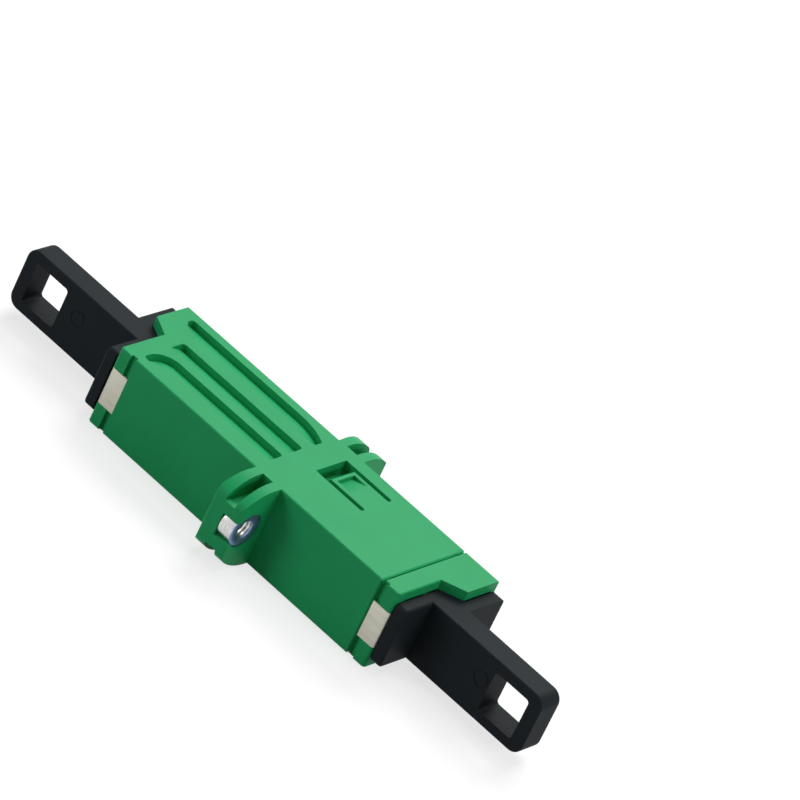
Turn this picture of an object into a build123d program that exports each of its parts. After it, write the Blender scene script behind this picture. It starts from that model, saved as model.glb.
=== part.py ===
from build123d import *
import math
import os

# Frame: X runs along the fibre axis, Y across the body, Z up.
# X = 0 is the middle of the body, Y = 0 the centre line, Z = 0 the flat bottom.

# Body outline
body_height = 9.3
body_width = 12.9
axis_z = body_height / 2
side_y = body_width / 2
near_end_x = 19.75
far_end_x = 22.17
step_near_y = 0.1
step_far_y = 1.5
seam_x = 17.4
seam_gap = 0.1
seam_chamfer = 0.15
edge_round = 0.2
mouth_corner_round = 0.4

# Walls and cavities
side_wall = 0.9
cover_wall = 1.0
port_half_height = 2.85
mouth_half_height = 3.55
port_far_y = 4.85
mouth_far_y = 5.7
mouth_start_x = 18.4
insert_side_slip = 0.05
insert_top_slip = 0.1
mouth_rib_height = 0.6
mouth_rib_spans = ((-5.55, -4.95), (-2.2, -1.4))
mid_wall = 1.2
flange_thickness = 1.2

# Near side groove and leaf seat at both mouths
groove_start_x = 17.55
groove_width = 0.7
groove_depth = 0.38
leaf_thickness = 0.25
leaf_leg_start_x = 17.5
leaf_leg_height = 4.4
leaf_flap_height = 3.2
flap_pivot_x = 18.9
flap_length = 8.5
flap_pivot_gap = 0.1

# Long grooves in the top of the left half
finger_depth = 0.8
finger_slope_width = 2.15
finger_end_round = 0.42
finger_corner_reach = 0.05
finger_far_x = (-20.4, -0.7)
finger_far_wall_y = 5.2
finger_far_bend_x = -4.8
finger_far_bend_radius = 8.0
finger_far_bend_turn = 45
finger_far_tail = ((-5.0, 3.0), (-18.2, 3.05), (-20.0, 3.9), (-20.4, 4.4))
finger_far_low_y = 2.75
finger_mid_x = (-17.85, -0.75)
finger_mid_y = (-1.0, 1.15)
finger_near_x = (-17.75, -0.65)
finger_near_y = (-4.15, -2.0)
finger_near_bend_radius = 2.3
finger_near_low_y = -5.1
finger_near_tail = ((-17.0, -5.1), (-16.2, -4.5), (-15.2, -4.15))

# Snap tongue in the top of the right half
tongue_slot_start_x = 2.3
tongue_free_x = 3.6
tongue_root_x = 8.8
tongue_near_y = 0.4
tongue_far_y = 4.0
tongue_slit = 0.58
tongue_end_chamfer = 0.4
tongue_recess_x = (4.35, 6.15)
tongue_recess_y = (0.9, 3.55)
tongue_recess_depth = 0.43
tongue_hook_length = 0.8
tongue_hook_depth = 0.4
hook_pocket_depth = 0.6

# Mounting ears
ear_reach = 4.65
ear_root_x = (-0.4, 3.2)
ear_tip_x = (-0.75, 3.05)
ear_arc_start = 0.45
ear_arc_drop = 1.1
ear_trough_x = (0.65, 2.05)
ear_trough_reach = 3.9
ear_trough_floor = 2.3
ear_bridge_drop = 0.95
ear_edge_round = 0.4
ear_tip_round = 0.75
ear_hole_reach = 2.55
window_start_x = 1.1
window_height = 2.7

# Threaded inserts in the ears
thread_outer_radius = 2.05
thread_hole_radius = 1.0
thread_front_x = 2.9
thread_lead = 0.1
ear_through_radius = 1.3

# Sleeve and its holders
ferrule_diameter = 2.5
sleeve_wall = 0.35
sleeve_length = 11.4
sleeve_end_play = 0.2
sleeve_slit = 0.5
holder_wall = 0.8
holder_lip_length = 2.3
ferrule_clearance = 0.1
holder_lead = 0.5
holder_hole_clearance = 0.1

# Dust plugs
plug_seat_gap = 0.15
plug_wing_thickness = 1.3
plug_half_height = 3.55
plug_near_wing_y = -6.3
plug_far_wing_y = 6.35
plug_wing_round = 0.5
plug_wing_edge_round = 0.3
handle_near_y = -2.1
handle_thickness = 3.05
handle_end_x = 36.55
handle_corner_round = 1.3
handle_edge_round = 0.22
handle_hole_x = (30.5, 35.05)
handle_hole_half_height = 2.38
handle_hole_round = 0.4
right_mark_x = 29.4
left_mark_x = 28.15
mark_z = 5.3
mark_outer_radius = 0.95
mark_inner_radius = 0.7
mark_depth = 0.05
tail_half_height = 2.7
tail_plate = 0.9
tail_web_y = (-1.35, -0.35)
tail_near_y = -4.8
tail_near_outline = ((13.4, -4.8), (11.8, -4.0), (11.5, -1.7), (11.9, -0.2))
tail_nub = ((12.65, 0.55), (13.4, 0.6), (14.3, 0.0))
tail_waist = (17.2, 0.15)
tail_shoulder = ((20.2, 2.1), (20.9, 3.7), (22.0, 4.4))
tail_rib_length = 4.5
tail_rib_near_y = -4.5
tail_rib_z = (5.3, 6.0)

# Values that follow from the ones above
shell_inner_y = side_y - side_wall
shell_half_height = axis_z - cover_wall
near_port_y = -shell_inner_y
sleeve_inner_radius = ferrule_diameter / 2
sleeve_outer_radius = sleeve_inner_radius + sleeve_wall
holder_outer_radius = sleeve_outer_radius + holder_wall
holder_lip_x = sleeve_length / 2 + sleeve_end_play
holder_reach_x = holder_lip_x + holder_lip_length
mid_wall_face_x = -flange_thickness
port_floor_x = flange_thickness + mid_wall
plug_near_x = near_end_x + plug_seat_gap
plug_far_x = far_end_x + plug_seat_gap
ear_outer_y = side_y + ear_reach
ear_arc_start_y = side_y + ear_arc_start
ear_arc_mid_y = (ear_arc_start_y + ear_outer_y) / 2
ear_arc_mid_drop = ear_arc_drop / 4
ear_trough_end_y = side_y + ear_trough_reach
ear_hole_y = side_y + ear_hole_reach
thread_back_x = window_start_x
cut_margin = 1.0


def block(x_span, y_span, z_span):
    """Solid box between three pairs of limits."""
    x0, x1 = x_span
    y0, y1 = y_span
    z0, z1 = z_span
    box = Box(x1 - x0, y1 - y0, z1 - z0)
    return Pos((x0 + x1) / 2, (y0 + y1) / 2, (z0 + z1) / 2) * box


def prism(points, z_span):
    """Upright prism over a closed outline given as X and Y pairs."""
    outline = make_face(Polyline(*points, close=True))
    return Pos(0, 0, z_span[0]) * extrude(outline, z_span[1] - z_span[0], dir=(0, 0, 1))


def rod(radius, x_span, y=0.0):
    """Round bar along X at the height of the fibre axis."""
    circle = Plane(origin=(x_span[0], y, axis_z), z_dir=(1, 0, 0)) * Circle(radius)
    return extrude(circle, x_span[1] - x_span[0], dir=(1, 0, 0))


def cone(radius_start, radius_end, x_span, y=0.0):
    """Tapered bar along X at the height of the fibre axis."""
    start = Plane(origin=(x_span[0], y, axis_z), z_dir=(1, 0, 0)) * Circle(radius_start)
    end = Plane(origin=(x_span[1], y, axis_z), z_dir=(1, 0, 0)) * Circle(radius_end)
    return loft([start.face(), end.face()])


def about_axis(half_height):
    """Z limits of something centred on the fibre axis."""
    return (axis_z - half_height, axis_z + half_height)


def end_outline(inner_x):
    """Stepped outline of the right mouth, from a given X outwards."""
    return (
        (inner_x, -side_y), (near_end_x, -side_y), (near_end_x, step_near_y),
        (far_end_x, step_far_y), (far_end_x, side_y), (inner_x, side_y),
    )


def rounded_shell(points, seam_end):
    """Full height prism with soft long edges and a chamfered seam face."""
    solid = prism(points, (0, body_height))
    corner = solid.edges().filter_by(Axis.Z).filter_by_position(
        Axis.Y, -side_y, -side_y).sort_by(Axis.X)
    mouth_corner = corner[0] if seam_end > 0 else corner[-1]
    solid = fillet(mouth_corner, mouth_corner_round)
    long_edges = solid.edges().filter_by(Axis.X)
    solid = fillet(long_edges, edge_round)
    faces = solid.faces().filter_by(Axis.X).sort_by(Axis.X)
    seam_face = faces[-1] if seam_end > 0 else faces[0]
    return chamfer(seam_face.edges(), seam_chamfer)


def mouth_cutter():
    """Space inside the right mouth, between its guide ribs."""
    span_x = (mouth_start_x, far_end_x + cut_margin)
    space = block(span_x, (near_port_y, mouth_far_y), about_axis(mouth_half_height))
    rib_end = mouth_half_height - mouth_rib_height
    for rib_span in mouth_rib_spans:
        rib = block((mouth_start_x, near_end_x), rib_span, about_axis(mouth_half_height))
        gap = block((mouth_start_x, near_end_x), rib_span, about_axis(rib_end))
        space = space - (rib - gap)
    return space


def near_side_groove():
    """Upright groove and leaf recess on the near face of the right mouth."""
    slot = block(
        (groove_start_x, groove_start_x + groove_width),
        (-side_y - cut_margin, -side_y + groove_depth), (-cut_margin, body_height + cut_margin))
    leg_seat = block(
        (leaf_leg_start_x, near_end_x + cut_margin),
        (-side_y - cut_margin, -side_y + leaf_thickness), about_axis(leaf_leg_height / 2))
    edge_seat = block(
        (near_end_x - leaf_thickness, near_end_x + cut_margin),
        (-side_y - cut_margin, near_port_y), about_axis(leaf_leg_height / 2))
    backing = block(
        (leaf_leg_start_x, near_end_x - leaf_thickness),
        (-side_y + leaf_thickness, near_port_y), about_axis(leaf_leg_height / 2))
    return (slot - backing) + leg_seat + edge_seat


def slope_section(wall_x, wall_y):
    """Upright cross section of a groove: steep far wall and a floor that slopes up."""
    return make_face(Polyline(
        (wall_x, wall_y, body_height + cut_margin), (wall_x, wall_y, body_height - finger_depth),
        (wall_x, wall_y - finger_slope_width, body_height),
        (wall_x, wall_y - finger_slope_width, body_height + cut_margin), close=True))


def straight_slope(x_span, wall_y):
    """Straight run of a groove along X."""
    return extrude(slope_section(x_span[0], wall_y), x_span[1] - x_span[0], dir=(1, 0, 0))


def bent_slope(bend_x, wall_y, radius, turn):
    """Run of a groove that bends round a centre on its near side."""
    centre = Axis((bend_x, wall_y - radius, 0), (0, 0, 1))
    return revolve(slope_section(bend_x, wall_y), centre, turn)


def groove_plan(outline, rounded):
    """Upright cutter over a groove's outline, with some of its corners rounded."""
    face = make_face(outline)
    corners = [v for v in face.vertices() if any(
        abs(v.X - x) + abs(v.Y - y) < finger_corner_reach for x, y in rounded)]
    face = fillet(corners, finger_end_round)
    return Pos(0, 0, body_height - finger_depth) * extrude(
        face, finger_depth + cut_margin, dir=(0, 0, 1))


def far_finger_groove():
    """Longest groove, beside the far edge, bent at its right end."""
    low_x, high_x = finger_far_x
    wall_y, radius = finger_far_wall_y, finger_far_bend_radius
    reach = high_x - finger_far_bend_x
    end_y = wall_y - radius + math.sqrt(radius ** 2 - reach ** 2)
    middle = math.asin(reach / radius) / 2
    bend = ThreePointArc(
        (finger_far_bend_x, wall_y),
        (finger_far_bend_x + radius * math.sin(middle), wall_y - radius + radius * math.cos(middle)),
        (high_x, end_y))
    outline = [
        *Polyline((low_x, wall_y), (finger_far_bend_x, wall_y)).edges(), *bend.edges(),
        *Polyline((high_x, end_y), (high_x, finger_far_low_y), *finger_far_tail, (low_x, wall_y)).edges()]
    rounded = ((low_x, wall_y), (high_x, end_y), (high_x, finger_far_low_y), *finger_far_tail)
    slope = straight_slope((low_x, finger_far_bend_x), wall_y)
    slope += bent_slope(finger_far_bend_x, wall_y, radius, -finger_far_bend_turn)
    return slope & groove_plan(outline, rounded)


def mid_finger_groove():
    """Straight groove in the middle."""
    (low_x, high_x), (low_y, wall_y) = finger_mid_x, finger_mid_y
    corners = ((low_x, wall_y), (high_x, wall_y), (high_x, low_y), (low_x, low_y))
    outline = Polyline(*corners, close=True).edges()
    return straight_slope(finger_mid_x, wall_y) & groove_plan(outline, corners)


def near_finger_groove():
    """Groove beside the near edge, with a scooped left end."""
    (low_x, high_x), (low_y, wall_y) = finger_near_x, finger_near_y
    radius = finger_near_bend_radius
    bend_x = low_x + radius
    middle = radius * math.sqrt(0.5)
    bend = ThreePointArc(
        (bend_x, wall_y), (bend_x - middle, wall_y - radius + middle), (low_x, wall_y - radius))
    outline = [
        *bend.edges(),
        *Polyline((low_x, wall_y - radius), (low_x, finger_near_low_y), *finger_near_tail,
                  (high_x, low_y), (high_x, wall_y), (bend_x, wall_y)).edges()]
    rounded = ((low_x, finger_near_low_y), *finger_near_tail[1:], (high_x, low_y), (high_x, wall_y))
    slope = straight_slope((bend_x, high_x), wall_y)
    slope += bent_slope(bend_x, wall_y, radius, 90)
    end = extrude(
        slope_section(0, 0), radius, dir=(1, 0, 0)).rotate(Axis.Z, 90)
    slope += Pos(low_x, wall_y - radius - radius, 0) * end
    return slope & groove_plan(outline, rounded)


def tongue_cutter():
    """Slot and slits round the snap tongue, with its sloped finger recess."""
    cover = (axis_z + shell_half_height - cut_margin, body_height + cut_margin)
    y_near = tongue_near_y - tongue_slit
    y_far = tongue_far_y + tongue_slit
    space = block((tongue_slot_start_x, tongue_free_x), (y_near, y_far), cover)
    slit_end_x = tongue_root_x - tongue_slit / 2
    for y_low, y_high in ((y_near, tongue_near_y), (tongue_far_y, y_far)):
        space += block((tongue_slot_start_x, slit_end_x), (y_low, y_high), cover)
        space += Pos(slit_end_x, (y_low + y_high) / 2, cover[0]) * extrude(
            Circle(tongue_slit / 2), cover[1] - cover[0], dir=(0, 0, 1))
    corner = Polyline(
        (tongue_free_x, tongue_far_y, body_height), (tongue_free_x, tongue_far_y, body_height + cut_margin),
        (tongue_free_x + tongue_end_chamfer, tongue_far_y, body_height + cut_margin),
        (tongue_free_x + tongue_end_chamfer, tongue_far_y, body_height),
        (tongue_free_x, tongue_far_y, body_height - tongue_end_chamfer), close=True)
    nose = extrude(make_face(corner), tongue_far_y - tongue_near_y, dir=(0, -1, 0))
    low_x, high_x = tongue_recess_x
    ramp = Polyline(
        (low_x, tongue_recess_y[0], body_height + cut_margin),
        (low_x, tongue_recess_y[0], body_height - tongue_recess_depth),
        (high_x, tongue_recess_y[0], body_height),
        (high_x, tongue_recess_y[0], body_height + cut_margin), close=True)
    recess = extrude(make_face(ramp), tongue_recess_y[1] - tongue_recess_y[0], dir=(0, 1, 0))
    return space + nose + recess


def rounded_tips(face, radius):
    """Face with its two outermost corners along Y rounded."""
    return fillet(face.vertices().group_by(Axis.Y)[-1], radius)


def ear():
    """Far side mounting ear with its two lobes, trough and insert pocket."""
    plan = make_face(Polyline(
        (ear_root_x[0], shell_inner_y), (ear_root_x[1], shell_inner_y),
        (ear_root_x[1], ear_arc_start_y), (ear_tip_x[1], ear_outer_y),
        (ear_tip_x[0], ear_outer_y), (ear_root_x[0], ear_arc_start_y), close=True))
    plan = extrude(rounded_tips(plan, ear_edge_round), body_height, dir=(0, 0, 1))
    x_low = ear_tip_x[0] - cut_margin
    side = Wire([
        Line((x_low, shell_inner_y, 0), (x_low, ear_arc_start_y, 0)),
        ThreePointArc((x_low, ear_arc_start_y, 0), (x_low, ear_arc_mid_y, ear_arc_mid_drop),
                      (x_low, ear_outer_y, ear_arc_drop)),
        Line((x_low, ear_outer_y, ear_arc_drop), (x_low, ear_outer_y, body_height - ear_arc_drop)),
        ThreePointArc((x_low, ear_outer_y, body_height - ear_arc_drop),
                      (x_low, ear_arc_mid_y, body_height - ear_arc_mid_drop),
                      (x_low, ear_arc_start_y, body_height)),
        Line((x_low, ear_arc_start_y, body_height), (x_low, shell_inner_y, body_height)),
        Line((x_low, shell_inner_y, body_height), (x_low, shell_inner_y, 0)),
    ])
    side = rounded_tips(Face(side), ear_tip_round)
    solid = plan & extrude(side, ear_root_x[1] - x_low + cut_margin, dir=(1, 0, 0))
    drop = ear_arc_drop + ear_bridge_drop
    for top in (True, False):
        shallow_z = (body_height - drop, body_height + cut_margin) if top else (-cut_margin, drop)
        deep = ear_trough_floor
        deep_z = (body_height - deep, body_height + cut_margin) if top else (-cut_margin, deep)
        solid -= block(ear_trough_x, (side_y, ear_outer_y + cut_margin), shallow_z)
        solid -= block(ear_trough_x, (side_y, ear_trough_end_y), deep_z)
    solid -= rod(thread_outer_radius, (thread_back_x, ear_root_x[1] + cut_margin), ear_hole_y)
    solid -= rod(ear_through_radius, (x_low, thread_back_x), ear_hole_y)
    solid -= block(
        (window_start_x, ear_root_x[1] + cut_margin), (ear_hole_y, ear_outer_y + cut_margin),
        about_axis(window_height / 2))
    return solid


def make_housing():
    """Outer moulding with the left port, both ears and the snap tongue."""
    left_end = [(-x, y) for x, y in end_outline(-seam_x)]
    solid = rounded_shell(left_end, 1)
    far_ear = ear()
    solid = solid + far_ear + mirror(far_ear, about=Plane.XZ)
    insert_bay = block(
        (mid_wall_face_x, seam_x + cut_margin), (-shell_inner_y, shell_inner_y),
        about_axis(shell_half_height))
    port = block(
        (-far_end_x - cut_margin, -port_floor_x), (near_port_y, port_far_y),
        about_axis(port_half_height))
    solid = solid - insert_bay - port - mirror(mouth_cutter(), about=Plane.YZ)
    solid -= rod(holder_outer_radius + holder_hole_clearance, (-port_floor_x, mid_wall_face_x))
    solid -= mirror(near_side_groove(), about=Plane.YZ)
    solid = solid - far_finger_groove() - mid_finger_groove() - near_finger_groove()
    solid -= tongue_cutter()
    under = axis_z + shell_half_height
    hook = block(
        (tongue_free_x, tongue_free_x + tongue_hook_length), (tongue_near_y, tongue_far_y),
        (under - tongue_hook_depth, under))
    return solid + hook


def make_port_insert():
    """Right port piece: end frame, walls that reach inside and their end wall."""
    frame = rounded_shell(end_outline(seam_x + seam_gap), -1)
    bottom = axis_z - shell_half_height
    top = axis_z + shell_half_height - insert_top_slip
    reach_y = shell_inner_y - insert_side_slip
    walls = block((flange_thickness, seam_x + cut_margin), (-reach_y, reach_y), (bottom, top))
    inner_port = block(
        (port_floor_x, seam_x + seam_gap), (near_port_y - cut_margin, port_far_y),
        about_axis(port_half_height))
    outer_port = block(
        (seam_x, far_end_x + cut_margin), (near_port_y, port_far_y), about_axis(port_half_height))
    solid = frame + walls - inner_port - outer_port - mouth_cutter()
    solid -= rod(holder_outer_radius + holder_hole_clearance, (flange_thickness, port_floor_x))
    solid -= near_side_groove()
    solid -= block(
        (tongue_slot_start_x, tongue_free_x + tongue_hook_length + insert_top_slip),
        (tongue_near_y - tongue_slit, tongue_far_y + tongue_slit),
        (axis_z + shell_half_height - hook_pocket_depth, body_height))
    return solid


def make_holder():
    """Right half of the sleeve holder: a flange with a tube round the sleeve."""
    flange = block((0, flange_thickness), (-shell_inner_y, shell_inner_y), about_axis(shell_half_height))
    tube = rod(holder_outer_radius, (0, holder_reach_x))
    bore = rod(sleeve_outer_radius, (0, holder_lip_x))
    mouth_radius = sleeve_inner_radius + ferrule_clearance
    mouth = rod(mouth_radius, (holder_lip_x, holder_reach_x))
    lead = cone(mouth_radius, mouth_radius + holder_lead, (holder_reach_x - holder_lead, holder_reach_x))
    return flange + tube - bore - mouth - lead


def make_sleeve():
    """Split sleeve that lines the two ferrules up."""
    half = sleeve_length / 2
    tube = rod(sleeve_outer_radius, (-half, half)) - rod(sleeve_inner_radius, (-half, half))
    slit = block((-half, half), (-sleeve_slit / 2, sleeve_slit / 2), (axis_z, axis_z + sleeve_outer_radius))
    return tube - slit


def make_threaded_insert():
    """Metal insert in the far ear."""
    body = rod(thread_outer_radius, (thread_back_x, thread_front_x), ear_hole_y)
    hole = rod(thread_hole_radius, (thread_back_x, thread_front_x), ear_hole_y)
    lead = cone(thread_hole_radius, thread_hole_radius + thread_lead,
                (thread_front_x - thread_lead, thread_front_x), ear_hole_y)
    return body - hole - lead


def make_leaf_clip():
    """Fixed part of the right leaf: outer leg, edge and short inner leg."""
    wide = about_axis(leaf_leg_height / 2)
    narrow = about_axis(leaf_flap_height / 2)
    leg = block((leaf_leg_start_x, near_end_x), (-side_y, -side_y + leaf_thickness), wide)
    edge = block((near_end_x - leaf_thickness, near_end_x), (-side_y, near_port_y), wide)
    inner_end = flap_pivot_x + leaf_thickness / 2 + flap_pivot_gap
    inner = block((inner_end, near_end_x), (near_port_y, near_port_y + leaf_thickness), narrow)
    return leg + edge + inner


def make_leaf_flap():
    """Moving part of the right leaf, lying open along the near wall."""
    pivot_y = near_port_y + flap_pivot_gap + leaf_thickness / 2
    height = about_axis(leaf_flap_height / 2)
    blade = block(
        (flap_pivot_x - flap_length, flap_pivot_x),
        (pivot_y - leaf_thickness / 2, pivot_y + leaf_thickness / 2), height)
    disc = Pos(flap_pivot_x, pivot_y, height[0]) * extrude(
        Circle(leaf_thickness / 2), height[1] - height[0], dir=(0, 0, 1))
    return blade + disc


def make_plug(mark_x):
    """Right dust plug: handle with its mark, stepped wings and the tail inside the port."""
    handle_far_y = handle_near_y + handle_thickness
    profile = Pos((plug_near_x + handle_end_x) / 2, axis_z) * Rectangle(
        handle_end_x - plug_near_x, 2 * plug_half_height)
    corners = profile.vertices().group_by(Axis.X)[-1]
    profile = fillet(corners, handle_corner_round)
    hole_x = (handle_hole_x[0] + handle_hole_x[1]) / 2
    hole = Pos(hole_x, axis_z) * RectangleRounded(
        handle_hole_x[1] - handle_hole_x[0], 2 * handle_hole_half_height, handle_hole_round)
    upright = Plane(origin=(0, handle_far_y, 0), x_dir=(1, 0, 0), z_dir=(0, -1, 0))
    handle = extrude(upright * profile, handle_thickness, dir=(0, -1, 0))
    rims = handle.edges().filter_by(GeomType.LINE).filter_by(Axis.X)
    ends = handle.edges().filter_by(GeomType.LINE).filter_by(Axis.Z).filter_by_position(
        Axis.X, handle_end_x, handle_end_x)
    arcs = handle.edges().filter_by(GeomType.CIRCLE)
    handle = fillet(rims + ends + arcs, handle_edge_round)
    handle -= extrude(upright * hole, handle_thickness, dir=(0, -1, 0))
    mark_plane = Plane(origin=(mark_x, handle_near_y, mark_z), x_dir=(1, 0, 0), z_dir=(0, -1, 0))
    ring = Circle(mark_outer_radius) - Circle(mark_inner_radius)
    handle -= extrude(mark_plane * ring, mark_depth, dir=(0, 1, 0))
    wing_z = about_axis(plug_half_height)
    wings = prism(
        ((plug_near_x, plug_near_wing_y), (plug_near_x, step_near_y), (plug_far_x, step_far_y),
         (plug_far_x, plug_far_wing_y), (plug_far_x + plug_wing_thickness, plug_far_wing_y),
         (plug_far_x + plug_wing_thickness, step_near_y),
         (plug_near_x + plug_wing_thickness, step_near_y - plug_wing_thickness),
         (plug_near_x + plug_wing_thickness, plug_near_wing_y)), wing_z)
    tips = wings.edges().filter_by(Axis.X).filter_by_position(
        Axis.Y, plug_near_wing_y, plug_near_wing_y) + wings.edges().filter_by(
        Axis.X).filter_by_position(Axis.Y, plug_far_wing_y, plug_far_wing_y)
    wings = fillet(tips, plug_wing_round)
    near_edge = wings.edges().filter_by(Axis.Z).filter_by_position(
        Axis.Y, plug_near_wing_y, plug_near_wing_y).sort_by(Axis.X)[-1]
    wings = fillet(near_edge, plug_wing_edge_round)
    near, nub, shoulder = tail_near_outline, tail_nub, tail_shoulder
    root_x = plug_near_x + plug_wing_thickness / 2
    far_root_x = plug_far_x + plug_wing_thickness / 2
    plan = [
        *Polyline((root_x, tail_near_y), *near, *nub).edges(),
        *ThreePointArc(nub[-1], tail_waist, shoulder[0]).edges(),
        *Polyline(*shoulder, (far_root_x, shoulder[-1][1]), (far_root_x, step_far_y),
                  (root_x, step_near_y), (root_x, tail_near_y)).edges(),
    ]
    z_low, z_high = about_axis(tail_half_height)
    face = make_face(plan)
    slab = Pos(0, 0, z_low) * extrude(face, z_high - z_low, dir=(0, 0, 1))
    channel = block(
        (near[-2][0] - cut_margin, plug_near_x), (tail_near_y - cut_margin, tail_web_y[0]),
        (z_low + tail_plate, z_high - tail_plate))
    outside = block(
        (near[-2][0] - cut_margin, plug_near_x + cut_margin), (tail_web_y[1], side_y),
        (z_low + tail_plate, z_high - tail_plate))
    rib = block(
        (plug_near_x - tail_rib_length, plug_near_x), (tail_rib_near_y, tail_web_y[0]), tail_rib_z)
    tail = slab - channel - outside + rib
    return handle + wings + tail


def main():
    """Build every piece and write one file for each."""
    os.makedirs("parts", exist_ok=True)
    right_holder = make_holder()
    far_thread = make_threaded_insert()
    right_clip = make_leaf_clip()
    right_flap = make_leaf_flap()
    pieces = {
        "housing": make_housing(),
        "port_insert": make_port_insert(),
        "right_sleeve_holder": right_holder,
        "left_sleeve_holder": mirror(right_holder, about=Plane.YZ),
        "alignment_sleeve": make_sleeve(),
        "far_threaded_insert": far_thread,
        "near_threaded_insert": mirror(far_thread, about=Plane.XZ),
        "right_leaf_clip": right_clip,
        "left_leaf_clip": mirror(right_clip, about=Plane.YZ),
        "right_leaf_flap": right_flap,
        "left_leaf_flap": mirror(right_flap, about=Plane.YZ),
        "right_plug": make_plug(right_mark_x),
        "left_plug": mirror(make_plug(left_mark_x), about=Plane.YZ),
    }
    for name, piece in pieces.items():
        export_step(piece, os.path.join("parts", name + ".step"))


main()
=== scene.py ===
"""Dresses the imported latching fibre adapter: finishes, metal pieces, studio and camera."""

import logging
import math
from collections.abc import Callable
from dataclasses import dataclass
from enum import Enum

import bpy
from mathutils import Matrix, Vector


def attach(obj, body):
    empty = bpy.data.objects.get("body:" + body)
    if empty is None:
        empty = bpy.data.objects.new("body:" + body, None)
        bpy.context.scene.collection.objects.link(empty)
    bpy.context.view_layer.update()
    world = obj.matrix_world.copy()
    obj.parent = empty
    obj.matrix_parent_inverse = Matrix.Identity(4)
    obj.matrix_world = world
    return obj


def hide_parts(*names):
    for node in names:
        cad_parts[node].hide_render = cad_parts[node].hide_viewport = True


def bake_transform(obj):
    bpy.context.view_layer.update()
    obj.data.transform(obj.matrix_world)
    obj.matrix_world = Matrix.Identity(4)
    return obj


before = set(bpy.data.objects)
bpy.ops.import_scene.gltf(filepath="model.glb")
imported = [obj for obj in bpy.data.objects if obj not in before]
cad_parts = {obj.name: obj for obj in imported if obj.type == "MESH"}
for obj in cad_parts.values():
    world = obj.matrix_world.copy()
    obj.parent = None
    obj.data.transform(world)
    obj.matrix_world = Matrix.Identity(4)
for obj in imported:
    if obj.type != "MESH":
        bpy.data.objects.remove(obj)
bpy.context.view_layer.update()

Triple = tuple[float, float, float]
Colour = tuple[float, float, float, float]

MM = 0.001  # one millimetre in metres
AXIS_Z = 4.65  # height of the fibre axis, in millimetres
SNAP = 0.01  # a point this near to a line counts as on it, in millimetres
MERGE = 0.001  # points nearer than this become one, in millimetres
SMOOTH_ANGLE = math.radians(35)  # flatter edges are shaded smooth
QUARTER_TURN = math.radians(90)
EVEN: Triple = (1.0, 1.0, 1.0)
WHITE: Colour = (1.0, 1.0, 1.0, 1.0)
log = logging.getLogger("adapter")


class Side(Enum):
    """Which end of the adapter a piece belongs to, as its sign along X."""

    LEFT = -1
    RIGHT = 1

    @property
    def word(self) -> str:
        """Lower-case word used in names."""
        return self.name.lower()


class Ear(Enum):
    """Which ear a piece belongs to, as its sign along Y."""

    NEAR = -1
    FAR = 1

    @property
    def word(self) -> str:
        """Lower-case word used in names."""
        return self.name.lower()


def srgb(value: str) -> Colour:
    """Turns a written colour into the linear values that a shader takes.

    Args:
        value: Colour as six hexadecimal digits.

    Returns:
        Linear red, green, blue and an alpha of one.
    """
    knee, slope, offset, power = 0.04045, 12.92, 0.055, 2.4
    parts = [byte / 255 for byte in bytes.fromhex(value)]
    linear = [p / slope if p <= knee else ((p + offset) / (1 + offset)) ** power for p in parts]
    return (*linear, 1.0)


def seen_rays(tree: bpy.types.NodeTree) -> bpy.types.NodeSocket:
    """Adds nodes that give one where the eye looks straight, by a mirror or through glass.

    Args:
        tree: Node tree that takes them.

    Returns:
        Socket that gives the one, or nought elsewhere.
    """
    path = tree.nodes.new("ShaderNodeLightPath")
    found = path.outputs["Is Camera Ray"]
    for ray in ("Is Glossy Ray", "Is Transmission Ray"):
        larger = tree.nodes.new("ShaderNodeMath")
        larger.operation = "MAXIMUM"
        tree.links.new(found, larger.inputs[0])
        tree.links.new(path.outputs[ray], larger.inputs[1])
        found = larger.outputs[0]
    return found


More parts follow.
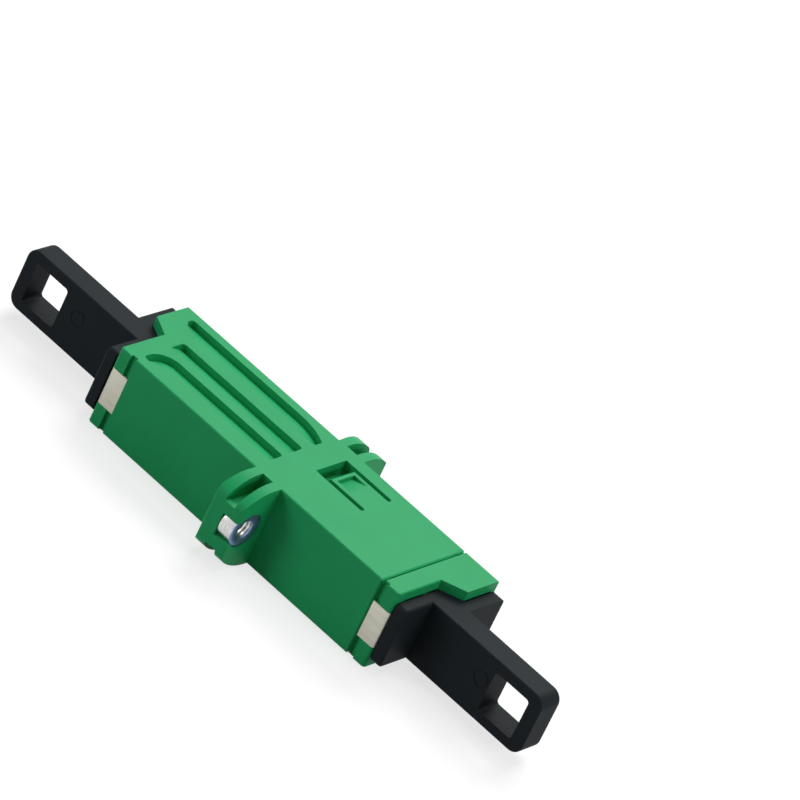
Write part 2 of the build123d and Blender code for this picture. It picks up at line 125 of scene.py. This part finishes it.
class NodeSheet:
    """Small helper that adds and joins nodes in one material."""

    def __init__(self, name: str) -> None:
        """Starts an empty material with its shader and output.

        Args:
            name: Name of the new material.
        """
        self.material = bpy.data.materials.new(name)
        self.material.use_nodes = True
        self.tree = self.material.node_tree
        self.tree.nodes.clear()
        self.shader = self.add("ShaderNodeBsdfPrincipled")
        output = self.add("ShaderNodeOutputMaterial")
        self.join(self.shader, "BSDF", output, "Surface")
        self.coordinates = self.add("ShaderNodeTexCoord")

    def add(self, kind: str) -> bpy.types.Node:
        """Adds one node.

        Args:
            kind: Type of the node.

        Returns:
            The new node.
        """
        return self.tree.nodes.new(kind)

    def join(self, source: bpy.types.Node, out: str, target: bpy.types.Node, into: str) -> None:
        """Links one node's output to another node's input.

        Args:
            source: Node that gives the value.
            out: Name of its output.
            target: Node that takes the value.
            into: Name of its input.
        """
        self.tree.links.new(source.outputs[out], target.inputs[into])

    def tune(self, socket: str, value: float | Colour) -> None:
        """Sets a number or colour on the shader's own socket.

        Args:
            socket: Name of the shader's input.
            value: What it is set to.
        """
        self.shader.inputs[socket].default_value = value

    def noise(self, scale: float, detail: float, stretch: Triple = EVEN) -> bpy.types.Node:
        """Adds noise on object coordinates.

        Args:
            scale: Size of the pattern, in cells per metre.
            detail: Number of finer layers.
            stretch: Scale along each axis.

        Returns:
            The noise node.
        """
        mapping = self.add("ShaderNodeMapping")
        mapping.inputs["Scale"].default_value = stretch
        noise = self.add("ShaderNodeTexNoise")
        noise.inputs["Scale"].default_value = scale
        noise.inputs["Detail"].default_value = detail
        self.join(self.coordinates, "Object", mapping, "Vector")
        self.join(mapping, "Vector", noise, "Vector")
        return noise

    def paint(self, source: bpy.types.Node, stops: tuple[float, float],
              dark: str, light: str) -> None:
        """Colours the surface between two close shades.

        Args:
            source: Node whose factor says which shade.
            stops: Factors at which the two shades stand.
            dark: First shade, as six hexadecimal digits.
            light: Second shade.
        """
        ramp = self.add("ShaderNodeValToRGB")
        for element, stop, shade in zip(ramp.color_ramp.elements, stops, (dark, light)):
            element.position = stop
            element.color = srgb(shade)
        self.join(source, "Fac", ramp, "Fac")
        self.join(ramp, "Color", self.shader, "Base Color")

    def bump(self, source: bpy.types.Node, depth: float, strength: float) -> None:
        """Adds a bump to the shader's normal.

        Args:
            source: Node whose factor is the height.
            depth: Height of the bumps in metres.
            strength: Share of the bump that shows.
        """
        bump = self.add("ShaderNodeBump")
        bump.inputs["Distance"].default_value = depth
        bump.inputs["Strength"].default_value = strength
        self.join(source, "Fac", bump, "Height")
        self.join(bump, "Normal", self.shader, "Normal")


@dataclass(frozen=True)
class MouldedPlastic:
    """Matte moulded plastic with faint clouds and a fine grain.

    In this and the other finishes, scales are in cells per metre and depths in metres.
    """

    name: str
    light: str
    dark: str
    roughness: float
    specular: float = 0.4
    stops: tuple[float, float] = (0.35, 0.65)
    cloud_scale: float = 260.0
    cloud_detail: float = 3.0
    grain_scale: float = 5200.0
    grain_detail: float = 2.0
    grain_depth: float = 0.00001
    grain_strength: float = 0.35

    def make(self) -> bpy.types.Material:
        """Builds the material.

        Returns:
            The new material.
        """
        sheet = NodeSheet(self.name)
        clouds = sheet.noise(self.cloud_scale, self.cloud_detail)
        sheet.paint(clouds, self.stops, self.dark, self.light)
        sheet.tune("Roughness", self.roughness)
        sheet.tune("Specular IOR Level", self.specular)
        grain = sheet.noise(self.grain_scale, self.grain_detail)
        sheet.bump(grain, self.grain_depth, self.grain_strength)
        return sheet.material


@dataclass(frozen=True)
class WorkedMetal:
    """Metal with the faint marks of its working, drawn out along one direction."""

    name: str
    light: str
    dark: str
    roughness: float
    metallic: float
    mark_scale: float
    mark_detail: float
    mark_stretch: Triple
    mark_strength: float
    mark_depth: float = 0.000004
    stops: tuple[float, float] = (0.3, 0.7)

    def make(self) -> bpy.types.Material:
        """Builds the material.

        Returns:
            The new material.
        """
        sheet = NodeSheet(self.name)
        marks = sheet.noise(self.mark_scale, self.mark_detail, self.mark_stretch)
        sheet.paint(marks, self.stops, self.dark, self.light)
        sheet.tune("Metallic", self.metallic)
        sheet.tune("Roughness", self.roughness)
        sheet.bump(marks, self.mark_depth, self.mark_strength)
        return sheet.material


@dataclass(frozen=True)
class RolledStrip(WorkedMetal):
    """Dull spring strip with faint marks along its rolling direction."""

    metallic: float = 0.55
    mark_scale: float = 900.0
    mark_detail: float = 4.0
    mark_stretch: Triple = (0.4, 1.0, 3.0)
    mark_strength: float = 0.3


@dataclass(frozen=True)
class TurnedMetal(WorkedMetal):
    """Plated metal with fine turning rings."""

    metallic: float = 1.0
    mark_scale: float = 2600.0
    mark_detail: float = 2.0
    mark_stretch: Triple = (4.0, 0.6, 0.6)
    mark_strength: float = 0.25


@dataclass(frozen=True)
class GroundCeramic:
    """White ground ceramic of the alignment sleeve."""

    name: str
    light: str
    dark: str
    roughness: float
    stops: tuple[float, float] = (0.35, 0.65)
    cloud_scale: float = 1200.0
    cloud_detail: float = 3.0

    def make(self) -> bpy.types.Material:
        """Builds the material.

        Returns:
            The new material.
        """
        sheet = NodeSheet(self.name)
        clouds = sheet.noise(self.cloud_scale, self.cloud_detail)
        sheet.paint(clouds, self.stops, self.dark, self.light)
        sheet.tune("Roughness", self.roughness)
        return sheet.material


@dataclass(frozen=True)
class FloorPaint:
    """Pale matte floor that glows only where the eye looks, and so keeps a shadow."""

    name: str
    light: str
    dark: str
    roughness: float
    glow: float
    specular: float = 0.1
    stops: tuple[float, float] = (0.3, 0.7)
    cloud_scale: float = 6.0
    cloud_detail: float = 2.0

    def make(self) -> bpy.types.Material:
        """Builds the material.

        Returns:
            The new material.
        """
        sheet = NodeSheet(self.name)
        clouds = sheet.noise(self.cloud_scale, self.cloud_detail)
        sheet.paint(clouds, self.stops, self.dark, self.light)
        sheet.tune("Roughness", self.roughness)
        sheet.tune("Specular IOR Level", self.specular)
        sheet.tune("Emission Color", WHITE)
        glow = sheet.add("ShaderNodeMath")
        glow.operation = "MULTIPLY"
        glow.inputs[1].default_value = self.glow
        sheet.tree.links.new(seen_rays(sheet.tree), glow.inputs[0])
        sheet.join(glow, "Value", sheet.shader, "Emission Strength")
        return sheet.material


class Finish(Enum):
    """The finishes of the adapter's pieces."""

    GREEN = MouldedPlastic("green_moulded_plastic", "1FA664", "1DA261", 0.5, specular=0.14)
    BLACK = MouldedPlastic("black_moulded_plastic", "1A2024", "171D20", 0.58, specular=0.08)
    PALE = MouldedPlastic("pale_inner_plastic", "D6D5CC", "D0CFC6", 0.45)
    STRIP = RolledStrip("rolled_spring_strip", "CFCEBF", "C3C1B2", 0.42)
    PLATED = TurnedMetal("plated_turned_metal", "D4D4D2", "B9BABC", 0.25)
    # Painted shade and a painted bluish reflection: the inserts' front faces are the same
    # plated metal as the rest of the insert, drawn darker and bluer here.
    SHADED = TurnedMetal("painted_shade_turned_face", "8CA1CB", "7C90B8", 0.45)
    CERAMIC = GroundCeramic("ground_sleeve_ceramic", "F2F0EA", "ECEAE2", 0.25)


class Pick(Enum):
    """Kind of element that is picked on a blank, as the select mode it needs."""

    VERTEX = (True, False, False)
    EDGE = (False, True, False)


def clear_selection() -> None:
    """Deselects every object and leaves none active."""
    bpy.ops.object.select_all(action="DESELECT")
    bpy.context.view_layer.objects.active = None


def dress(node: str, material: bpy.types.Material) -> None:
    """Gives a solid of the frame its finish.

    Args:
        node: Name of the solid.
        material: Finish to put in its only slot.
    """
    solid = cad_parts[node]
    solid.data.materials.clear()
    solid.data.materials.append(material)
    log.info("dressed %s with %s", node, material.name)


class Blank:
    """One mesh on the bench, shaped in edit mode and then finished by modifiers."""

    def __init__(self, name: str) -> None:
        """Takes the active object as a named blank.

        Args:
            name: Name of the piece that it becomes.
        """
        self.piece = bpy.context.object
        self.piece.name = name
        self.piece.data.name = name
        self.settle()

    def activate(self) -> None:
        """Makes the blank the only selected and the active object."""
        clear_selection()
        self.piece.select_set(True)
        bpy.context.view_layer.objects.active = self.piece

    def settle(self) -> None:
        """Moves the object's place, turn and scale into its mesh."""
        self.activate()
        bpy.ops.object.transform_apply(location=True, rotation=True, scale=True)

    def pick(self, kind: Pick, test: Callable[[Vector], bool]) -> None:
        """Selects the elements whose middle passes a test, in edit mode.

        Args:
            kind: Kind of element.
            test: Takes a middle in millimetres and says whether it is picked.
        """
        self.activate()
        mesh = self.piece.data
        for group in (mesh.vertices, mesh.edges, mesh.polygons):
            for item in group:
                item.select = False
        bpy.context.tool_settings.mesh_select_mode = kind.value
        points = [v.co / MM for v in mesh.vertices]
        if kind is Pick.VERTEX:
            for vertex in mesh.vertices:
                vertex.select = test(points[vertex.index])
        else:
            for edge in mesh.edges:
                first, second = edge.vertices
                edge.select = test((points[first] + points[second]) / 2)
        bpy.ops.object.mode_set(mode="EDIT")

    def pick_all(self) -> None:
        """Selects the whole mesh, in edit mode."""
        self.pick(Pick.VERTEX, lambda point: True)

    def leave(self) -> None:
        """Leaves edit mode."""
        bpy.ops.object.mode_set(mode="OBJECT")

    def drag(self, step: Triple) -> None:
        """Extrudes the picked edges by a step.

        Args:
            step: Move in millimetres.
        """
        bpy.ops.mesh.extrude_region_move(
            TRANSFORM_OT_translate={"value": tuple(v * MM for v in step)})

    def stretch(self, factor: Triple, centre: Triple) -> None:
        """Scales what is picked.

        Args:
            factor: Scale along each axis.
            centre: Point that stays, in millimetres.
        """
        bpy.ops.transform.resize(
            value=factor, center_override=tuple(v * MM for v in centre))

    def modify(self, kind: str, **settings: object) -> None:
        """Adds a modifier and applies it.

        Args:
            kind: Type of the modifier.
            **settings: Its attributes.
        """
        self.activate()
        modifier = self.piece.modifiers.new(kind.title(), kind)
        for key, value in settings.items():
            setattr(modifier, key, value)
        bpy.ops.object.modifier_apply(modifier=modifier.name)

    def cut_away(self, cutter: bpy.types.Object) -> None:
        """Takes another object's shape out of the blank and removes that object.

        Args:
            cutter: Closed shape to take out.
        """
        self.modify("BOOLEAN", object=cutter, operation="DIFFERENCE", solver="EXACT")
        bpy.data.objects.remove(cutter)

    def soften(self, width: float, segments: int, angle: float) -> None:
        """Rounds the sharp edges.

        Args:
            width: Width of the rounding in millimetres.
            segments: Steps across it.
            angle: Edges sharper than this are rounded, in degrees.
        """
        self.modify("BEVEL", width=width * MM, segments=segments, limit_method="ANGLE",
                    angle_limit=math.radians(angle))

    def face_outwards(self) -> None:
        """Merges doubles and turns every face outwards."""
        self.pick_all()
        bpy.ops.mesh.remove_doubles(threshold=MERGE * MM)
        bpy.ops.mesh.normals_make_consistent(inside=False)
        self.leave()

    def finish(self, material: bpy.types.Material) -> bpy.types.Object:
        """Smooths the piece and gives it its material.

        Args:
            material: Finish of the whole piece.

        Returns:
            The finished piece.
        """
        self.activate()
        bpy.ops.object.shade_smooth_by_angle(angle=SMOOTH_ANGLE)
        self.piece.data.materials.clear()
        self.piece.data.materials.append(material)
        return self.piece


def copy_piece(piece: bpy.types.Object, name: str, change: Matrix) -> bpy.types.Object:
    """Copies a piece with its own mesh and moves or mirrors the copy's mesh.

    Args:
        piece: Piece to copy.
        name: Name of the copy.
        change: Change of place in metres.

    Returns:
        The copy.
    """
    twin = piece.copy()
    twin.data = piece.data.copy()
    twin.name = name
    twin.data.name = name
    bpy.context.collection.objects.link(twin)
    twin.data.transform(change)
    if change.determinant() < 0:
        twin.data.flip_normals()
    return twin


@dataclass(frozen=True)
class EarLobes:
    """Outline that the ears' lobes are cut to, top and bottom, in millimetres.

    It falls in an arc from the body outwards, and a smaller rounding runs on from the arc
    to the ear's upright side.
    """

    side_y: float = 11.1
    top_z: float = 9.3
    arc_start_y: float = 6.9
    arc_radius: float = 6.2
    corner_radius: float = 1.3
    margin: float = 1.0
    span_x: tuple[float, float] = (-2.0, 5.0)
    sides: int = 144
    slack: float = 0.002

    def trim(self, blank: Blank) -> None:
        """Cuts the lobes of both ears to their outline.

        Args:
            blank: Moulding that carries the ears.
        """
        arc_y, arc_z = self.arc_start_y, self.top_z - self.arc_radius
        self.cut(blank, (arc_y, arc_z), self.arc_radius,
                 (arc_y, arc_z + math.sqrt(self.arc_radius ** 2 - (self.side_y - arc_y) ** 2)))
        between = self.arc_radius - self.corner_radius
        corner_y = self.side_y - self.corner_radius
        corner_z = arc_z + math.sqrt(between ** 2 - (corner_y - arc_y) ** 2)
        meet_y = arc_y + (corner_y - arc_y) * self.arc_radius / between
        self.cut(blank, (corner_y, corner_z), self.corner_radius, (meet_y, corner_z))

    def cut(self, blank: Blank, centre: tuple[float, float], radius: float,
            low: tuple[float, float]) -> None:
        """Cuts one rounding at the top and bottom of both ears.

        Args:
            blank: Moulding that carries the ears.
            centre: Y and Z of the rounding's centre on the far ear's top.
            radius: Radius of the rounding.
            low: Y at its inner end and Z at its outer end.
        """
        wedge = self.wedge(centre, radius, low)
        to_axis = Matrix.Translation((0, 0, AXIS_Z * MM))
        for ear in Ear:
            for upright in (1, -1):
                mirrored = Matrix.Diagonal((1, ear.value, upright, 1))
                blank.cut_away(copy_piece(wedge, "ear_lobe_cutter",
                                          to_axis @ mirrored @ to_axis.inverted()))
        bpy.data.objects.remove(wedge)

    def wedge(self, centre: tuple[float, float], radius: float,
              low: tuple[float, float]) -> bpy.types.Object:
        """Makes a block over the far ear's top, hollowed to a rounding.

        Args:
            centre: Y and Z of the rounding's centre.
            radius: Radius of the rounding.
            low: Y and Z of the block's inner lower edge.

        Returns:
            The hollowed block.
        """
        mid_x, length = sum(self.span_x) / 2, self.span_x[1] - self.span_x[0]
        high = (self.side_y + self.margin, self.top_z + self.margin)
        clear_selection()
        bpy.ops.mesh.primitive_cube_add(size=MM, location=(
            mid_x * MM, (low[0] + high[0]) / 2 * MM, (low[1] + high[1]) / 2 * MM))
        bpy.context.object.scale = (length, high[0] - low[0], high[1] - low[1])
        block = Blank("ear_lobe_block")
        clear_selection()
        bpy.ops.mesh.primitive_cylinder_add(
            vertices=self.sides, radius=(radius + self.slack) * MM,
            depth=(length + self.margin) * MM, rotation=(0, QUARTER_TURN, 0),
            location=(mid_x * MM, centre[0] * MM, centre[1] * MM))
        block.cut_away(Blank("ear_lobe_bar").piece)
        return block.piece


@dataclass(frozen=True)
class SoftenedMoulding:
    """A moulded solid of the frame with every sharp edge softened, as moulds leave them."""

    node: str
    body: str
    slot: str
    lobes: EarLobes | None = None
    edge_round: float = 0.12
    segments: int = 2
    sharp_angle: float = 28.0
    flat_angle: float = 0.6
    straight_angle: float = 150.0

    def build(self, finish: bpy.types.Material) -> None:
        """Joins the flat facets of the solid's copy and softens its edges.

        Args:
            finish: Material of the moulding.
        """
        blank = self.copy_solid()
        if self.lobes:
            self.lobes.trim(blank)
        blank.pick_all()
        bpy.ops.mesh.remove_doubles(threshold=MERGE * MM)
        bpy.ops.mesh.dissolve_limited(angle_limit=math.radians(self.flat_angle))
        blank.leave()
        self.weigh_edges(blank.piece.data)
        blank.modify("BEVEL", width=self.edge_round * MM, segments=self.segments,
                     limit_method="WEIGHT")
        blank.pick_all()
        bpy.ops.mesh.dissolve_degenerate(threshold=MERGE * MM)
        blank.leave()
        piece = blank.finish(finish)
        blank.modify("WEIGHTED_NORMAL", keep_sharp=True)
        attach(piece, self.body)
        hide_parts(self.node)
        log.info("softened %s", piece.name)

    def copy_solid(self) -> Blank:
        """Copies the solid's mesh, without its doubles.

        Returns:
            The copy, as a blank.
        """
        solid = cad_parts[self.node]
        piece = bpy.data.objects.new(f"{self.node}_moulding", solid.data.copy())
        bpy.context.collection.objects.link(piece)
        clear_selection()
        bpy.context.view_layer.objects.active = piece
        blank = Blank(piece.name)
        blank.pick_all()
        bpy.ops.mesh.customdata_custom_splitnormals_clear()
        bpy.ops.mesh.remove_doubles(threshold=MERGE * MM)
        blank.leave()
        return blank

    def weigh_edges(self, mesh: bpy.types.Mesh) -> None:
        """Marks the sharp outer edges whose faces have room for the rounding.

        Args:
            mesh: Mesh whose edges are weighed.
        """
        least_turn = math.cos(math.radians(self.sharp_angle))
        sides: dict[tuple[int, int], list[bpy.types.MeshPolygon]] = {}
        for polygon in mesh.polygons:
            for key in polygon.edge_keys:
                sides.setdefault(key, []).append(polygon)
        weights = mesh.attributes.new("bevel_weight_edge", "FLOAT", "EDGE")
        for edge in mesh.edges:
            pair = sides[edge.key]
            first, second = pair[0], pair[-1]
            sharp = first.normal.dot(second.normal) < least_turn
            outer = (second.center - first.center).dot(first.normal) < 0
            room = min(self.room(mesh, edge, side) for side in pair)
            if sharp and outer and room > self.edge_round * MM:
                weights.data[edge.index].value = 1.0

    def room(self, mesh: bpy.types.Mesh, edge: bpy.types.MeshEdge,
             polygon: bpy.types.MeshPolygon) -> float:
        """Measures how wide a rounding of an edge can be on one of its faces.

        Args:
            mesh: Mesh of the edge.
            edge: The edge.
            polygon: One of its two faces.

        Returns:
            Half the width of the face at the edge's ends, in metres.
        """
        straight = math.cos(math.radians(self.straight_angle))
        found = [math.inf]
        for near, far in (edge.vertices, reversed(edge.vertices)):
            corner = mesh.vertices[near].co
            along = (mesh.vertices[far].co - corner).normalized()
            for key in polygon.edge_keys:
                if near in key and far not in key:
                    other = key[0] if key[1] == near else key[1]
                    side = mesh.vertices[other].co - corner
                    turn = along.dot(side.normalized())
                    if turn > straight:
                        found.append(side.length * math.sqrt(max(0.0, 1 - turn * turn)) / 2)
        return min(found)


@dataclass
class LeafSpring:
    """One bent strip at a mouth: outer leg, wrapped edge and the inner flap, in millimetres.

    Its hinge is drawn in many steps.
    """

    leg_start_x: float = 17.52
    edge_x: float = 19.625
    leg_y: float = -6.325
    flap_y: float = -5.325
    leg_height: float = 4.36
    flap_height: float = 3.2
    narrowing_x: tuple[float, float] = (19.3, 19.1)
    hinge_x: tuple[float, float] = (19.1, 18.2)
    hinge_steps: int = 12
    tip_x: float = 10.45
    tip_height: float = 2.6
    thickness: float = 0.24
    bend: float = 0.28
    bend_segments: int = 5
    edge_round: float = 0.05
    edge_segments: int = 2
    sharp_angle: float = 60.0
    blend_start: tuple[float, float] = (19.05, -5.2)
    blend_step: tuple[float, float] = (-0.0936, 0.1498)

    def build(self, finish: bpy.types.Material) -> None:
        """Builds the right leaf and its mirrored copy.

        Args:
            finish: Material of the strip.
        """
        right = self.shape(finish)
        left = copy_piece(right, "left_leaf", Matrix.Scale(-1, 4, (1, 0, 0)))
        for side, leaf in ((Side.RIGHT, right), (Side.LEFT, left)):
            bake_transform(leaf)
            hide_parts(f"{side.word}_leaf_clip", f"{side.word}_leaf_flap")
            log.info("built %s", leaf.name)

    def shape(self, finish: bpy.types.Material) -> bpy.types.Object:
        """Draws the strip out along its bends and gives it its thickness.

        Args:
            finish: Material of the strip.

        Returns:
            The right leaf.
        """
        length = self.edge_x - self.leg_start_x
        clear_selection()
        bpy.ops.mesh.primitive_plane_add(
            size=MM, rotation=(QUARTER_TURN, 0, 0),
            location=((self.leg_start_x + length / 2) * MM, self.leg_y * MM, AXIS_Z * MM))
        bpy.context.object.scale = (length, self.leg_height, 1)
        blank = Blank("right_leaf")
        blank.pick(Pick.EDGE, lambda point: point.x > self.edge_x - SNAP)
        blank.drag((0, self.flap_y - self.leg_y, 0))
        blank.drag((self.narrowing_x[0] - self.edge_x, 0, 0))
        blank.drag((self.narrowing_x[1] - self.narrowing_x[0], 0, 0))
        blank.stretch((1, 1, self.flap_height / self.leg_height), (0, 0, AXIS_Z))
        step = (self.hinge_x[1] - self.hinge_x[0]) / self.hinge_steps
        for _ in range(self.hinge_steps):
            blank.drag((step, 0, 0))
        blank.drag((self.tip_x + 2 * self.bend - self.hinge_x[1], 0, 0))
        blank.drag((-2 * self.bend, 0, 0))
        blank.stretch((1, 1, self.tip_height / self.flap_height), (0, 0, AXIS_Z))
        blank.leave()
        blank.pick(Pick.EDGE, lambda point: point.x > self.edge_x - SNAP
                   and abs(point.z - AXIS_Z) < SNAP)
        bpy.ops.mesh.bevel(offset=self.bend * MM, segments=self.bend_segments, affect="EDGES")
        blank.leave()
        blank.modify("SOLIDIFY", thickness=self.thickness * MM, offset=0.0)
        blank.soften(self.edge_round, self.edge_segments, self.sharp_angle)
        return blank.finish(finish)


@dataclass
class ThreadedInsert:
    """Turned metal insert of an ear, with a threaded bore, in millimetres.

    The thread's profile gives each point as a share of the pitch and of the depth.
    """

    hole_y: float = 9.0
    outer_radius: float = 2.03
    bore_radius: float = 1.0
    thread_depth: float = 0.13
    thread_profile: tuple[tuple[float, float], ...] = (
        (0.1, 0.0), (0.45, 1.0), (0.55, 1.0), (0.9, 0.0))
    pitch: float = 0.4
    turns: int = 4
    back_x: float = 1.12
    front_x: float = 2.88
    rim_round: float = 0.09
    lead: float = 0.1
    sides: int = 64

    def outline(self) -> list[tuple[float, float]]:
        """Draws the outline that is turned, from the back round the outside to the thread.

        Returns:
            Points of the outline, as X and radius.
        """
        rim = self.rim_round
        half, third = rim / 2, rim / 3
        points = [
            (self.back_x, self.outer_radius - rim), (self.back_x + rim, self.outer_radius),
            (self.front_x - rim, self.outer_radius),
            (self.front_x - third, self.outer_radius - third),
            (self.front_x, self.outer_radius - rim),
            (self.front_x, self.bore_radius + self.lead + half),
            (self.front_x - third, self.bore_radius + self.lead),
            (self.front_x - self.lead, self.bore_radius)]
        x = self.front_x - self.lead
        for _ in range(self.turns):
            points += [(x - self.pitch * along, self.bore_radius + self.thread_depth * deep)
                       for along, deep in self.thread_profile]
            x -= self.pitch
        points.append((self.back_x, self.bore_radius))
        return points

    def build(self, finish: bpy.types.Material, painted_shade_finish: bpy.types.Material) -> None:
        """Builds the far insert and its copy in the near ear.

        Args:
            finish: Material of both.
            painted_shade_finish: Material of their front faces, the plated metal drawn darker
                and bluer as painted shade and a painted reflection.
        """
        far = self.shape(finish)
        # Painted shade and reflection: the front faces take a darker, bluer copy of the plated
        # metal.
        far.data.materials.append(painted_shade_finish)
        for polygon in far.data.polygons:
            if polygon.center.x > (self.front_x - self.rim_round) * MM:
                polygon.material_index = 1
        near = copy_piece(far, "near_turned_insert",
                          Matrix.Translation((0, -2 * self.hole_y * MM, 0)))
        for ear, insert in ((Ear.FAR, far), (Ear.NEAR, near)):
            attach(insert, "adapter_body")
            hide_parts(f"{ear.word}_threaded_insert")
            log.info("built %s", insert.name)

    def shape(self, finish: bpy.types.Material) -> bpy.types.Object:
        """Turns the insert ring by ring along its outline.

        Args:
            finish: Material of the insert.

        Returns:
            The far insert.
        """
        points = self.outline()
        x, radius = points[0]
        clear_selection()
        bpy.ops.mesh.primitive_circle_add(
            vertices=self.sides, radius=radius * MM, fill_type="NOTHING",
            rotation=(0, QUARTER_TURN, 0),
            location=(x * MM, self.hole_y * MM, AXIS_Z * MM))
        blank = Blank("far_turned_insert")
        blank.pick(Pick.EDGE, lambda point: True)
        for next_x, next_radius in points[1:] + points[:1]:
            bpy.ops.mesh.extrude_edges_move(
                TRANSFORM_OT_translate={"value": ((next_x - x) * MM, 0, 0)})
            share = next_radius / radius
            blank.stretch((1, share, share), (next_x, self.hole_y, AXIS_Z))
            x, radius = next_x, next_radius
        blank.leave()
        blank.face_outwards()
        blank.finish(finish)
        blank.modify("WEIGHTED_NORMAL", keep_sharp=True)
        return blank.piece


@dataclass(frozen=True)
class SoftBox:
    """A square lamp that looks at the middle of the part, in metres and watts."""

    name: str
    place: Triple
    size: float
    power: float

    def add(self) -> None:
        """Hangs the lamp in the scene."""
        data = bpy.data.lights.new(self.name, "AREA")
        data.shape = "SQUARE"
        data.size = self.size
        data.energy = self.power
        lamp = bpy.data.objects.new(self.name, data)
        bpy.context.collection.objects.link(lamp)
        lamp.location = self.place
        toward = Vector((0, 0, AXIS_Z * MM)) - Vector(self.place)
        lamp.rotation_mode = "QUATERNION"
        lamp.rotation_quaternion = toward.to_track_quat("-Z", "Y")


@dataclass
class Studio:
    """Floor, world, lamps and the camera at the photograph's angle, in metres."""

    floor_paint: FloorPaint = FloorPaint("floor_paint", "A4A4A4", "A0A0A0", 0.9, glow=0.72)
    floor_size: float = 3.0
    floor_gap: float = 0.00002
    sky: float = 0.07
    backdrop: float = 1.0
    lamps: tuple[SoftBox, ...] = (
        SoftBox("back_top_box", (-0.14, 0.44, 0.55), 0.40, 3.65),
        SoftBox("overhead_fill", (0.0, 0.08, 0.70), 0.25, 0.8),
        SoftBox("right_fill", (0.62, 0.10, 0.30), 0.30, 1.5),
        SoftBox("left_front_fill", (-0.42, -0.50, 0.25), 0.30, 1.3))
    camera_place: Triple = (0.29364, -0.53489, 0.38230)
    camera_right: Triple = (0.687009, 0.621295, 0.375889)
    camera_up: Triple = (-0.602306, 0.198345, 0.773092)
    camera_back: Triple = (0.405764, -0.757521, 0.510472)
    lens: float = 331.33
    sensor_width: float = 36.0
    clip: tuple[float, float] = (0.01, 20.0)

    def build(self) -> None:
        """Makes every part of the studio."""
        self.add_floor()
        self.add_world()
        for lamp in self.lamps:
            lamp.add()
        self.add_camera()
        bpy.context.scene.view_settings.view_transform = "Standard"

    def add_floor(self) -> None:
        """Adds a pale floor that the camera sees as white but that keeps the shadow."""
        clear_selection()
        bpy.ops.mesh.primitive_plane_add(size=self.floor_size, location=(0, 0, -self.floor_gap))
        floor = bpy.context.object
        floor.name = "studio_floor"
        floor.data.materials.append(self.floor_paint.make())

    def add_world(self) -> None:
        """Adds a world that is white to the eye and lights the part only weakly."""
        world = bpy.data.worlds.new("studio_world")
        bpy.context.scene.world = world
        world.use_nodes = True
        tree = world.node_tree
        tree.nodes.clear()
        mix = tree.nodes.new("ShaderNodeMixShader")
        tree.links.new(seen_rays(tree), mix.inputs["Fac"])
        for place, strength in ((1, self.sky), (2, self.backdrop)):
            light = tree.nodes.new("ShaderNodeBackground")
            light.inputs["Color"].default_value = WHITE
            light.inputs["Strength"].default_value = strength
            tree.links.new(light.outputs[0], mix.inputs[place])
        output = tree.nodes.new("ShaderNodeOutputWorld")
        tree.links.new(mix.outputs[0], output.inputs["Surface"])

    def add_camera(self) -> None:
        """Adds the camera at the photograph's angle, distance and roll."""
        data = bpy.data.cameras.new("photo_camera")
        data.sensor_width = self.sensor_width
        data.lens = self.lens
        data.clip_start, data.clip_end = self.clip
        camera = bpy.data.objects.new("photo_camera", data)
        bpy.context.collection.objects.link(camera)
        turn = Matrix((self.camera_right, self.camera_up, self.camera_back)).transposed()
        camera.rotation_mode = "QUATERNION"
        camera.rotation_quaternion = turn.to_quaternion()
        camera.location = self.camera_place
        bpy.context.scene.camera = camera


@dataclass
class Adapter:
    """The whole dressed object."""

    plug_edge_round: float = 0.2

    def build(self) -> None:
        """Dresses the solids and builds the pieces that Blender adds."""
        made = {finish: finish.value.make() for finish in Finish}
        for name, lobes in (("housing", EarLobes()), ("port_insert", None)):
            SoftenedMoulding(name, "adapter_body", "green_plastic", lobes).build(
                made[Finish.GREEN])
        for side in Side:
            SoftenedMoulding(f"{side.word}_plug", f"{side.word}_dust_plug", "black_plastic",
                             edge_round=self.plug_edge_round).build(made[Finish.BLACK])
            dress(f"{side.word}_sleeve_holder", made[Finish.PALE])
        dress("alignment_sleeve", made[Finish.CERAMIC])
        LeafSpring().build(made[Finish.STRIP])
        ThreadedInsert().build(made[Finish.PLATED], made[Finish.SHADED])


def main() -> None:
    """Builds the adapter and its studio."""
    logging.basicConfig(level=logging.INFO, format="%(name)s: %(message)s")
    Adapter().build()
    Studio().build()


if __name__ == "__main__":
    main()
